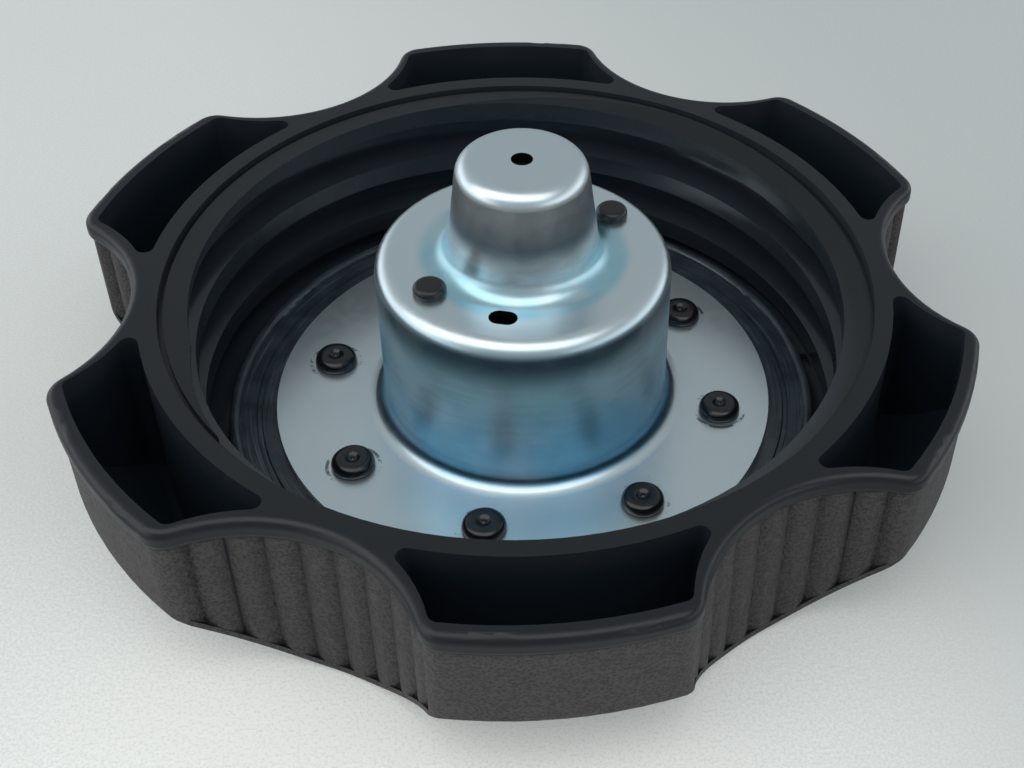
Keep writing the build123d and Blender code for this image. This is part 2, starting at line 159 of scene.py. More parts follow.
# The lamp points at the floor under the cap, with its long side level across the view.
lamp = bpy.data.lights.new("softbox", "AREA")
lamp.shape = "RECTANGLE"
lamp.size = 1.60
lamp.size_y = 0.52
lamp.energy = 3.2
lamp.color = tone("FFFDF9")[:3]
softbox = bpy.data.objects.new("softbox", lamp)
bpy.context.scene.collection.objects.link(softbox)
lamp_at = Vector((-0.20, -0.19, 0.62))
back_side = lamp_at.normalized()
long_side = (level - level.dot(back_side) * back_side).normalized()
short_side = back_side.cross(long_side)
softbox.matrix_world = Matrix((
    (long_side.x, short_side.x, back_side.x, lamp_at.x),
    (long_side.y, short_side.y, back_side.y, lamp_at.y),
    (long_side.z, short_side.z, back_side.z, lamp_at.z),
    (0.0, 0.0, 0.0, 1.0),
))

# Low down at the left and right of the view the room's walls are as bright as a window, in linear
# values a little over white. The camera itself sees them all as one pale grey.
room = bpy.data.worlds.new("room")
room.use_nodes = True
air = room.node_tree
room_seen = add(air, "LightPath", {}, "Is Camera Ray")
ray = add(air, "TexCoord", {}, "Generated")
height = add(air, "SeparateXYZ", {0: ray}, 2)
low = add(air, "MapRange", {0: height, 1: 0.60, 2: 0.20}, interpolation_type="SMOOTHSTEP")
sideways = add(air, "VectorMath", {0: ray, 1: level}, "Value", operation="DOT_PRODUCT")
to_left = add(air, "MapRange", {0: sideways, 1: -0.40, 2: -0.85}, interpolation_type="SMOOTHSTEP")
right_share = 0.85
to_right = add(
    air, "MapRange", {0: sideways, 1: 0.40, 2: 0.85, 3: 0.0, 4: right_share},
    interpolation_type="SMOOTHSTEP",
)
two_sides = add(air, "Math", {0: to_left, 1: to_right}, operation="ADD")
lit_side = add(air, "Math", {0: low, 1: two_sides}, operation="MULTIPLY")
window = (1.30, 1.33, 1.37, 1.0)
walls = add(air, "Mix", {0: lit_side, 6: tone("A6ACAF"), 7: window}, 2, data_type="RGBA")
glow = add(air, "Mix", {0: room_seen, 6: walls, 7: tone("DCDFDF")}, 2, data_type="RGBA")
air.links.new(glow, air.nodes["Background"].inputs["Color"])
air.nodes["Background"].inputs["Strength"].default_value = 1.0
bpy.context.scene.world = room
bpy.context.scene.view_settings.view_transform = "Standard"


# ---- cap body -----------------------------------------------------------------------------------
# The handwheel: glass-filled nylon 6, injection moulded black. The tool is polished for the bead
# and the neck thread, stoned on the top ring, and spark-eroded on the grip wall below the bead.
def about_axis(tree, here):
    """Distance from the cap's axis, angle about it, and height, for patterns that go round."""
    x, y, z = add(tree, "SeparateXYZ", {0: here}, slice(3))
    flat = add(tree, "VectorMath", {0: here, 1: (1.0, 1.0, 0.0)}, operation="MULTIPLY")
    radius = add(tree, "VectorMath", {0: flat}, "Value", operation="LENGTH")
    return radius, add(tree, "Math", {0: y, 1: x}, operation="ARCTAN2"), z


lobes = 6.0
bead_low = 0.02355
grip_from, pocket_step, pocket_wave = 0.0489, 0.0023, -0.6
valley_wave, valley_skin = -0.669, 0.0504
flank_wave, lobe_skin = 0.25, 0.0592
nylon, tree, here = new_material("black_nylon_moulded")
facing = add(tree, "TexCoord", {}, "Normal")
radius, angle, z = about_axis(tree, here)
flat = add(tree, "VectorMath", {0: here, 1: (1.0, 1.0, 0.0)}, operation="MULTIPLY")
outward = add(tree, "VectorMath", {0: flat}, operation="NORMALIZE")
side = add(tree, "VectorMath", {0: facing, 1: outward}, "Value", operation="DOT_PRODUCT")
rise = add(tree, "SeparateXYZ", {0: facing}, 2)

# The grip is the wall's outer face. Its wave is 1 at a lobe and -1 in a valley. The face lies
# beyond the collar, further out by the pockets, and in its skin the flutes' flanks count too.
lobe_turn = add(tree, "Math", {0: angle, 1: lobes, 2: lobes * pi / 2}, operation="MULTIPLY_ADD")
lobe_wave = add(tree, "Math", {0: lobe_turn}, operation="COSINE")
by_pocket = add(tree, "Math", {0: lobe_wave, 1: pocket_wave}, operation="GREATER_THAN")
inner_limit = add(tree, "Math", {0: by_pocket, 1: pocket_step, 2: grip_from}, operation="MULTIPLY_ADD")
beyond = add(tree, "Math", {0: radius, 1: inner_limit}, operation="GREATER_THAN")
skin_from = add(tree, "MapRange", {
    0: lobe_wave, 1: valley_wave, 2: flank_wave, 3: valley_skin, 4: lobe_skin,
})
in_skin = add(tree, "Math", {0: radius, 1: skin_from}, operation="GREATER_THAN")
eased_side = add(tree, "Math", {0: in_skin, 1: 0.35, 2: side}, operation="MULTIPLY_ADD")
faces_out = add(tree, "MapRange", {0: eased_side, 1: 0.02, 2: 0.2}, interpolation_type="SMOOTHSTEP")
outer = add(tree, "Math", {0: beyond, 1: faces_out}, operation="MULTIPLY")
down = add(tree, "MapRange", {0: rise, 1: -0.2, 2: -0.4}, interpolation_type="SMOOTHSTEP")
near_foot = add(tree, "Math", {0: z, 1: 0.003}, operation="LESS_THAN")
foot_side = add(tree, "Math", {0: near_foot, 1: beyond}, operation="MAXIMUM")
under = add(tree, "Math", {0: down, 1: foot_side}, operation="MULTIPLY")
outside = add(tree, "Math", {0: outer, 1: under}, operation="MAXIMUM")
below = add(tree, "MapRange", {0: z, 1: bead_low, 2: bead_low - 0.00025}, interpolation_type="SMOOTHSTEP")
grip = add(tree, "Math", {0: outside, 1: below}, operation="MULTIPLY")

# The six pockets lie between the collar and the wall, and the top is the level ring of the rim.
inside = add(tree, "Math", {0: 1.0, 1: outside}, operation="SUBTRACT")
past_collar = add(tree, "MapRange", {0: radius, 1: 0.0484, 2: 0.0488}, interpolation_type="SMOOTHSTEP")
under_rim = add(tree, "MapRange", {0: z, 1: 0.0245, 2: 0.0225}, interpolation_type="SMOOTHSTEP")
in_pocket = add(tree, "Math", {0: past_collar, 1: under_rim}, operation="MULTIPLY")
pocket = add(tree, "Math", {0: in_pocket, 1: inside}, operation="MULTIPLY")
level_face = add(tree, "MapRange", {0: rise, 1: 0.9, 2: 0.99}, interpolation_type="SMOOTHSTEP")
high = add(tree, "MapRange", {0: z, 1: 0.0262, 2: 0.0264}, interpolation_type="SMOOTHSTEP")
top = add(tree, "Math", {0: level_face, 1: high}, operation="MULTIPLY")

# The eroded grain has cells of about 0.35 mm, drawn at 0.4 mm so that it shows.
pits = add(tree, "TexVoronoi", {"Vector": here, "Scale": 1 / 0.0004}, "Distance")
grit = add(tree, "TexNoise", {"Vector": here, "Scale": 1 / 0.00055, "Detail": 3.0, "Roughness": 0.6})
half_grit = add(tree, "Math", {0: grit, 1: 0.5}, operation="MULTIPLY")
grain = add(tree, "Math", {0: pits, 1: 0.6, 2: half_grit}, operation="MULTIPLY_ADD")
rubbed = add(tree, "MapRange", {0: grain, 1: 0.25, 2: 0.75}, interpolation_type="SMOOTHSTEP")

# Polished faces have a haze from cooling, in 9 mm patches, and 2.5 mm smears from handling.
haze = add(tree, "TexNoise", {"Vector": here, "Scale": 1 / 0.009, "Detail": 3.0})
smear = add(tree, "TexNoise", {"Vector": here, "Scale": 1 / 0.0025, "Detail": 5.0, "Roughness": 0.65})
faces_up = add(tree, "MapRange", {0: rise, 1: 0.3, 2: 0.8}, interpolation_type="SMOOTHSTEP")

# Blue-black skin. Faces that look up near the rim and the bead are painted darker, as painted shade, and the
# pockets darker and bluer, as painted shade in the recesses. The grip's grain is browner, and paler where
# hands have rubbed its tops.
skin = add(tree, "Mix", {0: haze, 6: tone("20262D"), 7: tone("2C323A")}, 2, data_type="RGBA")
wall = add(tree, "Mix", {0: rubbed, 6: tone("2A2828"), 7: tone("4B4748")}, 2, data_type="RGBA")
near_rim = add(tree, "MapRange", {0: z, 1: 0.0225, 2: 0.0240}, interpolation_type="SMOOTHSTEP")
# Faces that look up near the rim are painted darker, as painted shade.
painted_rim_shade = add(tree, "Math", {0: faces_up, 1: near_rim}, operation="MULTIPLY")
rim_shaded = add(tree, "Mix", {0: painted_rim_shade, 6: skin, 7: tone("0E1319")}, 2, data_type="RGBA")
bead_side = add(tree, "Math", {0: 1.0, 1: below}, operation="SUBTRACT")
# The bead's outer face is painted darker, as painted shade.
bead = add(tree, "Math", {0: outer, 1: bead_side}, operation="MULTIPLY")
bead_shaded = add(tree, "Mix", {0: bead, 6: rim_shaded, 7: tone("0D1218")}, 2, data_type="RGBA")
# The pockets are painted darker and bluer, as painted shade in the recesses.
pocket_shaded = add(tree, "Mix", {0: pocket, 6: bead_shaded, 7: tone("1A242D")}, 2, data_type="RGBA")
colour = add(tree, "Mix", {0: grip, 6: pocket_shaded, 7: wall}, 2, data_type="RGBA")

# The tool's finish: glossy where it was polished, duller on the rim and its top, in the pockets,
# and dullest on the eroded grip.
gloss = add(
    tree, "MapRange", {0: smear, 1: 0.3, 2: 0.75, 3: 0.13, 4: 0.22}, interpolation_type="SMOOTHSTEP",
)
rim_rough = add(tree, "Math", {0: near_rim, 1: 0.16, 2: gloss}, operation="MULTIPLY_ADD")
satin = add(tree, "Math", {0: top, 1: 0.08, 2: rim_rough}, operation="MULTIPLY_ADD")
cored_rough = add(tree, "Math", {0: pocket, 1: 0.30, 2: satin}, operation="MULTIPLY_ADD")
rough = add(tree, "Math", {0: grip, 1: 0.38, 2: cored_rough}, operation="MULTIPLY_ADD")

# Even a polished face ripples by a few microns. The grain stands up on the grip alone.
fine = add(tree, "TexNoise", {"Vector": here, "Scale": 1 / 0.0004, "Detail": 2.0})
smooth = add(tree, "Math", {0: 1.0, 1: grip}, operation="SUBTRACT")
ripple = add(tree, "Math", {0: fine, 1: smooth}, operation="MULTIPLY")
rippled = add(tree, "Bump", {"Height": ripple, "Distance": 0.000004, "Strength": 1.0})
graining = add(tree, "Math", {0: grain, 1: grip}, operation="MULTIPLY")
grained = add(tree, "Bump", {"Height": graining, "Distance": 0.00013, "Strength": 1.0, "Normal": rippled})
add(tree, "OutputMaterial", {"Surface": add(tree, "BsdfPrincipled", {
    "Base Color": colour, "Roughness": rough, "IOR": 1.46, "Normal": grained,
})})
nodes["cap_body"].material_slots[0].material = nylon


# ---- neck gasket --------------------------------------------------------------------------------
# Flat ring that seals on the filler neck: black nitrile rubber, moulded, gripped under the hat's flange. It
# has a dull skin with shinier streaks where the neck has rubbed it round, and the streaks are painted paler
# as a painted sheen.
rubber, tree, here = new_material("black_nitrile_rubber")
radius, angle, z = about_axis(tree, here)

# The neck's rub leaves streaks round the ring about 0.2 mm wide, drawn at 0.5 mm so that they show.
streak_r = add(tree, "Math", {0: radius, 1: 1 / 0.0005}, operation="MULTIPLY")
streak_turn = add(tree, "Math", {0: angle, 1: 2.2}, operation="MULTIPLY")
round_ring = add(tree, "CombineXYZ", {0: streak_r, 1: streak_turn})
streak = add(tree, "TexNoise", {"Vector": round_ring, "Scale": 1.0, "Detail": 3.0, "Roughness": 0.6})
dull = add(tree, "TexNoise", {"Vector": here, "Scale": 1 / 0.004, "Detail": 4.0})
bloom = add(tree, "MapRange", {0: dull, 1: 0.3, 2: 0.7}, interpolation_type="SMOOTHSTEP")
skin = add(tree, "Mix", {0: bloom, 6: tone("232B33"), 7: tone("323C46")}, 2, data_type="RGBA")
# The rubbed streaks are shinier, and their paler colour is a painted sheen.
rub_and_sheen = add(tree, "MapRange", {0: streak, 1: 0.54, 2: 0.72, 3: 0.0, 4: 0.7}, interpolation_type="SMOOTHSTEP")
colour = add(tree, "Mix", {0: rub_and_sheen, 6: skin, 7: tone("56626D")}, 2, data_type="RGBA")
rough = add(tree, "MapRange", {0: streak, 1: 0.35, 2: 0.7, 3: 0.36, 4: 0.2}, interpolation_type="SMOOTHSTEP")
skin_bump = add(tree, "TexNoise", {"Vector": here, "Scale": 1 / 0.0008, "Detail": 3.0})
bumps = add(tree, "Bump", {"Height": skin_bump, "Distance": 0.00002, "Strength": 1.0})
add(tree, "OutputMaterial", {"Surface": add(tree, "BsdfPrincipled", {
    "Base Color": colour, "Roughness": rough, "IOR": 1.50,
    "Normal": add(tree, "Bump", {"Height": streak, "Distance": 0.00006, "Strength": 1.0, "Normal": bumps}),
})})
for name in ("neck_gasket", "carrier_o_ring", "ball_seat", "pressure_seal", "vacuum_seal"):
    nodes[name].material_slots[0].material = rubber


# ---- hat housing --------------------------------------------------------------------------------
# The valve's cover: 1 mm steel sheet, deep drawn in two steps, zinc plated and blue passivated.
# The passivate is thicker, so bluer, on the drawn wall and in its corners than on the flats.
flange_top = 0.0062
shoulder_top = 0.0303
cylinder_r = 0.0196
rivets = 8
rivet_at = 0.0276
rivet_turn = radians(164.4)
arc_r, arc_half = 0.0035, 0.00022
vent_at, vent_reach = (-0.00354, -0.01313, shoulder_top), 0.0026
hole_reach = 0.0017
scratch_share = 0.9
plated, tree, here = new_material("zinc_plated_steel_blue_passivated")
radius, angle, z = about_axis(tree, here)
rise = add(tree, "SeparateXYZ", {0: add(tree, "TexCoord", {}, "Normal")}, 2)
wide = add(tree, "TexNoise", {"Vector": here, "Scale": 1 / 0.014, "Detail": 3.0})
close = add(tree, "TexNoise", {"Vector": here, "Scale": 1 / 0.0016, "Detail": 2.0})

# Drawing leaves fine lines up the walls, about 0.1 mm apart, drawn here at 0.35 mm.
line_turn = add(tree, "Math", {0: angle, 1: cylinder_r / 0.00035}, operation="MULTIPLY")
line_rise = add(tree, "Math", {0: z, 1: 1 / 0.012}, operation="MULTIPLY")
line_at = add(tree, "CombineXYZ", {0: line_turn, 1: line_rise})
drawn = add(tree, "TexNoise", {"Vector": line_at, "Scale": 1.0, "Detail": 2.0})
upright_face = add(tree, "MapRange", {0: rise, 1: 0.5, 2: 0.2}, interpolation_type="SMOOTHSTEP")
wall_lines = add(tree, "Math", {0: drawn, 1: upright_face}, operation="MULTIPLY")

# The drawn cylinder, up to just under its shoulder, and the ring at the dome's foot are the bluest
# parts, in patches. The dome's side is greyer.
on_cylinder = add(tree, "MapRange", {0: radius, 1: 0.0168, 2: 0.0186}, interpolation_type="SMOOTHSTEP")
off_flange = add(tree, "MapRange", {0: radius, 1: 0.0212, 2: 0.0198}, interpolation_type="SMOOTHSTEP")
on_wall = add(tree, "Math", {0: on_cylinder, 1: off_flange}, operation="MULTIPLY")
under_shoulder = add(
    tree, "MapRange", {0: z, 1: shoulder_top - 0.0002, 2: shoulder_top - 0.0022},
    interpolation_type="SMOOTHSTEP",
)
wall_blue = add(tree, "Math", {0: on_wall, 1: under_shoulder}, operation="MULTIPLY")
over_shoulder = add(
    tree, "MapRange", {0: z, 1: shoulder_top + 0.0058, 2: shoulder_top + 0.0018},
    interpolation_type="SMOOTHSTEP",
)
near_dome = add(tree, "MapRange", {0: radius, 1: 0.0146, 2: 0.0128}, interpolation_type="SMOOTHSTEP")
from_shoulder = add(tree, "MapRange", {0: z, 1: shoulder_top - 0.0012, 2: shoulder_top - 0.0004})
dome_foot = add(tree, "Math", {0: near_dome, 1: over_shoulder}, operation="MULTIPLY")
foot_ring = add(tree, "Math", {0: dome_foot, 1: from_shoulder}, operation="MULTIPLY")
uneven = add(tree, "MapRange", {0: wide, 1: 0.35, 2: 0.6, 3: 0.3, 4: 0.9}, interpolation_type="SMOOTHSTEP")
foot_blue = add(tree, "Math", {0: foot_ring, 1: uneven}, operation="MULTIPLY")
blue_parts = add(tree, "Math", {0: wall_blue, 1: foot_blue}, operation="MAXIMUM")
patchy = add(tree, "MapRange", {0: wide, 1: 0.3, 2: 0.6, 3: 0.6, 4: 1.0}, interpolation_type="SMOOTHSTEP")
blue = add(tree, "Math", {0: blue_parts, 1: patchy}, operation="MULTIPLY")
dome_side = add(
    tree, "MapRange", {0: z, 1: shoulder_top + 0.0045, 2: shoulder_top + 0.0075},
    interpolation_type="SMOOTHSTEP",
)
grey = add(tree, "Math", {0: dome_side, 1: upright_face}, operation="MULTIPLY")

# Forming the rivet heads scuffed the plating in broken arcs, 3.5 mm from each rivet's middle.
fold = 2 * pi / rivets
from_rivet = add(tree, "Math", {0: angle, 1: rivet_turn}, operation="SUBTRACT")
folded = add(tree, "Math", {0: from_rivet, 1: -fold / 2, 2: fold / 2}, operation="WRAP")
fold_cos = add(tree, "Math", {0: folded}, operation="COSINE")
fold_sin = add(tree, "Math", {0: folded}, operation="SINE")
beside_r = add(tree, "Math", {0: radius, 1: fold_cos, 2: -rivet_at}, operation="MULTIPLY_ADD")
beside_t = add(tree, "Math", {0: radius, 1: fold_sin}, operation="MULTIPLY")
beside = add(tree, "CombineXYZ", {0: beside_r, 1: beside_t})
rivet_gap = add(tree, "VectorMath", {0: beside}, "Value", operation="LENGTH")
on_arc = add(tree, "Math", {0: rivet_gap, 1: arc_r, 2: arc_half}, operation="COMPARE")
arc_break = add(tree, "TexNoise", {"Vector": here, "Scale": 1 / 0.0009, "Detail": 3.0, "Roughness": 0.7})
arc_patch = add(tree, "TexNoise", {"Vector": here, "Scale": 1 / 0.004, "Detail": 1.0})
arc_sum = add(tree, "Math", {0: arc_patch, 1: 1.3, 2: arc_break}, operation="MULTIPLY_ADD")
arc_shows = add(
    tree, "MapRange", {0: arc_sum, 1: 1.18, 2: 1.34, 3: 0.0, 4: 0.75}, interpolation_type="SMOOTHSTEP",
)
scuff = add(tree, "Math", {0: on_arc, 1: arc_shows}, operation="MULTIPLY")
on_flange = add(tree, "Math", {0: z, 1: flange_top + 0.0002}, operation="LESS_THAN")
scuffed = add(tree, "Math", {0: scuff, 1: on_flange}, operation="MULTIPLY")

# Two long scratches run across the flange, from near the foot of the wall to its edge. Each row
# is where one starts and ends, in x and y, and half its width.
scratches = (
    (0.01520, -0.01465, 0.02036, -0.02012, 0.000055),
    (0.01323, -0.01596, 0.01769, -0.02253, 0.000045),
)
scratched = 0.0
for x0, y0, x1, y1, half in scratches:
    run = Vector((x1 - x0, y1 - y0, 0.0))
    along = run.normalized()
    normal = Vector((-along.y, along.x, 0.0))
    start = Vector((x0, y0, 0.0))
    away_by = add(tree, "VectorMath", {0: here, 1: normal}, "Value", operation="DOT_PRODUCT")
    gone = add(tree, "VectorMath", {0: here, 1: along}, "Value", operation="DOT_PRODUCT")
    on_line = add(tree, "Math", {0: away_by, 1: start.dot(normal), 2: half}, operation="COMPARE")
    middle = start.dot(along) + run.length / 2
    in_run = add(tree, "Math", {0: gone, 1: middle, 2: run.length / 2}, operation="COMPARE")
    faint = add(tree, "Math", {0: on_line, 1: scratch_share}, operation="MULTIPLY")
    mark = add(tree, "Math", {0: faint, 1: in_run}, operation="MULTIPLY")
    scratched = add(tree, "Math", {0: mark, 1: scratched}, operation="MAXIMUM")
scratched = add(tree, "Math", {0: scratched, 1: on_flange}, operation="MULTIPLY")

# The punch also left faint bands round the walls, about 0.5 mm apart, drawn here at 1 mm.
band_turn = add(tree, "Math", {0: angle, 1: 2.5}, operation="MULTIPLY")
band_rise = add(tree, "Math", {0: z, 1: 1 / 0.001}, operation="MULTIPLY")
band_at = add(tree, "CombineXYZ", {0: band_turn, 1: band_rise})
bands = add(tree, "TexNoise", {"Vector": band_at, "Scale": 1.0, "Detail": 3.0, "Roughness": 0.6})
cloudy = add(tree, "TexNoise", {"Vector": here, "Scale": 1 / 0.005, "Detail": 4.0, "Roughness": 0.6})
mixed = add(tree, "Math", {0: bands, 1: cloudy}, operation="MULTIPLY")
dulled = add(tree, "MapRange", {0: mixed, 1: 0.2, 2: 0.34, 3: 0.0, 4: 0.16}, interpolation_type="SMOOTHSTEP")
dull_wall = add(tree, "Math", {0: dulled, 1: upright_face}, operation="MULTIPLY")

# The plating's own colour, then the grey of the dome's side, darker and bluer low down, the blue of the wall,
# darker and bluer towards its foot, and painted shade just under the shoulder, then the dull bands and the
# scuffs.
base = add(tree, "Mix", {0: wide, 6: tone("D2E1E9"), 7: tone("DDE8EC")}, 2, data_type="RGBA")
dome_low = add(
    tree, "MapRange", {0: z, 1: shoulder_top + 0.0115, 2: shoulder_top + 0.0050},
    interpolation_type="SMOOTHSTEP",
)
dome_grey = add(tree, "Mix", {0: dome_low, 6: tone("B4BBBE"), 7: tone("74899A")}, 2, data_type="RGBA")
greyed = add(tree, "Mix", {0: grey, 6: base, 7: dome_grey}, 2, data_type="RGBA")
wall_low = add(tree, "MapRange", {0: z, 1: 0.0250, 2: 0.0120}, interpolation_type="SMOOTHSTEP")
wall_tint = add(tree, "Mix", {0: wall_low, 6: tone("A0D2E2"), 7: tone("6CB0D6")}, 2, data_type="RGBA")
# Just under the shoulder the wall is painted darker, as painted shade under its edge.
shoulder_shade_rise = add(tree, "MapRange", {0: z, 1: 0.0220, 2: 0.0275}, interpolation_type="SMOOTHSTEP")
painted_shoulder_shade = add(tree, "Math", {0: shoulder_shade_rise, 1: wall_blue}, operation="MULTIPLY")
tinted_and_shaded = add(tree, "Mix", {0: painted_shoulder_shade, 6: wall_tint, 7: tone("405B6A")}, 2, data_type="RGBA")
blued = add(tree, "Mix", {0: blue, 6: greyed, 7: tinted_and_shaded}, 2, data_type="RGBA")
clouded = add(tree, "Mix", {0: dull_wall, 6: blued, 7: tone("6E838C")}, 2, data_type="RGBA")
dirty = add(tree, "Mix", {0: scuffed, 6: clouded, 7: tone("2E3A42")}, 2, data_type="RGBA")

# The walls of the vent slot in the shoulder and of the hole in the dome, both pierced, are painted dark as
# painted shade inside the holes.
slot_gap = add(tree, "VectorMath", {0: here, 1: vent_at}, "Value", operation="DISTANCE")
in_slot = add(tree, "Math", {0: slot_gap, 1: vent_reach}, operation="LESS_THAN")
in_hole = add(tree, "Math", {0: radius, 1: hole_reach}, operation="LESS_THAN")
pierced = add(tree, "Math", {0: in_slot, 1: in_hole}, operation="MAXIMUM")
painted_hole_shade = add(tree, "Math", {0: pierced, 1: upright_face}, operation="MULTIPLY")
# The hole walls are painted dark, as painted shade inside the holes.
hole_shaded = add(tree, "Mix", {0: painted_hole_shade, 6: dirty, 7: tone("2B2A2A")}, 2, data_type="RGBA")
colour = add(tree, "Mix", {0: scratched, 6: hole_shaded, 7: tone("E4EAEC")}, 2, data_type="RGBA")

# The flats are satin, the drawn walls a little duller, and so is the flange near the wall's foot.
satin = add(
    tree, "MapRange", {0: close, 1: 0.3, 2: 0.7, 3: 0.285, 4: 0.325}, interpolation_type="SMOOTHSTEP",
)
lined = add(tree, "Math", {0: upright_face, 1: 0.06, 2: satin}, operation="MULTIPLY_ADD")
by_foot = add(tree, "MapRange", {0: radius, 1: 0.0270, 2: 0.0208}, interpolation_type="SMOOTHSTEP")
footed = add(tree, "Math", {0: by_foot, 1: 0.12, 2: lined}, operation="MULTIPLY_ADD")
flat_foot = add(tree, "Mix", {0: on_flange, 2: lined, 3: footed}, 0)
rough = add(tree, "Math", {0: scratched, 1: 0.25, 2: flat_foot}, operation="MULTIPLY_ADD")

# The passivate is a clear film, and where it is thicker it hides more of the metal's mirror: most
# on the cylinder's wall, some on the flange, a little on the dome's side, none on other flats.
thick = add(tree, "Math", {0: on_cylinder, 1: 0.8, 2: 0.2}, operation="MULTIPLY_ADD")
wall_film = add(tree, "Math", {0: upright_face, 1: thick}, operation="MULTIPLY")
flange_film = add(tree, "Math", {0: by_foot, 1: 0.25, 2: 0.25}, operation="MULTIPLY_ADD")
flat_film = add(tree, "Math", {0: flange_film, 1: on_flange}, operation="MULTIPLY")
film = add(tree, "Math", {0: wall_film, 1: flat_film}, operation="MAXIMUM")
filmed = add(tree, "MapRange", {0: film, 3: 1.0, 4: 0.52})
line_bump = add(tree, "Bump", {"Height": wall_lines, "Distance": 0.000006, "Strength": 1.0})
bumps = add(tree, "Bump", {"Height": close, "Distance": 0.000003, "Strength": 1.0, "Normal": line_bump})
add(tree, "OutputMaterial", {"Surface": add(tree, "BsdfPrincipled", {
    "Base Color": colour, "Roughness": rough, "Metallic": filmed, "Normal": bumps,
})})
for name in ("hat_housing", "pressure_disc", "spring_cup", "spring_retainer"):
    nodes[name].material_slots[0].material = plated


# ---- flange rivets ------------------------------------------------------------------------------
# Eight nylon rivets that hold the flange and gasket to the cap's floor. A hot punch has spread
# each head into a full round cushion with a dished middle and a small pip in the dish.
def new_piece(name, points, faces, material):
    """A smooth mesh object from an array of points and one of four-cornered faces."""
    mesh = bpy.data.meshes.new(name)
    mesh.from_pydata(points.reshape(-1, 3).tolist(), [], faces.tolist())
    mesh.polygons.foreach_set("use_smooth", [True] * len(mesh.polygons))
    mesh.materials.append(material)
    piece = bpy.data.objects.new(name, mesh)
    bpy.context.scene.collection.objects.link(piece)
    return piece


def grid_faces(rows, columns):
    """Corner numbers of the quads of a rows by columns grid whose columns close on themselves."""
    row, column = np.meshgrid(np.arange(rows - 1), np.arange(columns), indexing="ij")
    after = (column + 1) % columns
    first, second = row * columns, (row + 1) * columns
    corners = (first + column, first + after, second + after, second + column)
    return np.stack(corners, axis=-1).reshape(-1, 4)


def turned(radii, heights, sides, centres, wobble):
    """Points and faces of one turned shape, repeated at each centre.

    A point of the profile goes round its centre in a circle of its radius at its height. The
    wobble takes that share off the radius in three uneven waves, a different way round each one.
    """
    round_angle = np.linspace(0.0, 2 * np.pi, sides, endpoint=False)
    turn_by = np.arange(len(centres))[:, None] * 2.4
    waves = (
        np.sin(2 * round_angle + turn_by)
        + np.sin(3 * round_angle - 2 * turn_by)
        + np.sin(5 * round_angle + turn_by)
    )
    share = 1.0 - wobble * (3.0 + waves) / 6.0
    reach = radii[None, :, None] * share[:, None, :]
    points = np.stack((
        centres[:, None, None, 0] + reach * np.cos(round_angle),
        centres[:, None, None, 1] + reach * np.sin(round_angle),
        np.broadcast_to(heights[None, :, None], reach.shape),
    ), axis=-1)
    one = grid_faces(len(radii), sides)
    step = len(radii) * sides
    faces = (one[None] + step * np.arange(len(centres))[:, None, None]).reshape(-1, 4)
    return points, faces


hot_formed, tree, here = new_material("black_nylon_hot_formed")
flow = add(tree, "TexNoise", {"Vector": here, "Scale": 1 / 0.0012, "Detail": 4.0, "Roughness": 0.6})
colour = add(tree, "Mix", {0: flow, 6: tone("0B0E11"), 7: tone("171A1E")}, 2, data_type="RGBA")
rough = add(tree, "MapRange", {0: flow, 1: 0.3, 2: 0.7, 3: 0.15, 4: 0.26}, interpolation_type="SMOOTHSTEP")
add(tree, "OutputMaterial", {"Surface": add(tree, "BsdfPrincipled", {
    "Base Color": colour, "Roughness": rough, "IOR": 1.53,
    "Normal": add(tree, "Bump", {"Height": flow, "Distance": 0.00003, "Strength": 1.0}),
})})

# The brow falls from the crest to the head's edge as a quarter of a full, rounded oval. The dish is
# a flat-bottomed dip in the middle, and the pip a small bell in the dish.
head_r, crest_r, head_top, shank_r, shank_low = 0.00295, 0.0017, 0.0079, 0.0016, 0.0012
brow_w, brow_low, foot_in = head_r - crest_r, flange_top + 0.00045, 0.0002
dish_deep, dish_r, pip_high, pip_r = 0.00038, 0.00085, 0.0002, 0.00024
brow = np.linspace(1.0, 0.0, 14) * brow_w
brow_z = brow_low + (head_top - brow_low) * (1 - (brow / brow_w) ** 2.4) ** 0.5
dish = np.linspace(crest_r, 0.0, 22)
dip = dish_deep * np.exp(-((dish / dish_r) ** 4))
pip = pip_high * np.exp(-((dish / pip_r) ** 2))
dish_z = head_top - dip + pip
rivet_r = np.concatenate(([1e-6, shank_r, shank_r, head_r - foot_in], crest_r + brow, dish[1:-1], [1e-6]))
rivet_z = np.concatenate(([shank_low, shank_low, flange_top, flange_top], brow_z, dish_z[1:-1], dish_z[-1:]))
rivet_angles = rivet_turn + fold * np.arange(rivets)
rivet_centres = rivet_at * np.stack((np.cos(rivet_angles), np.sin(rivet_angles)), axis=-1)
rivet_shapes = turned(rivet_r, rivet_z, sides=40, centres=rivet_centres, wobble=0.03)
heads = new_piece("rivet_heads", *rivet_shapes, hot_formed)
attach(heads, "cap")
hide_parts("flange_rivets")


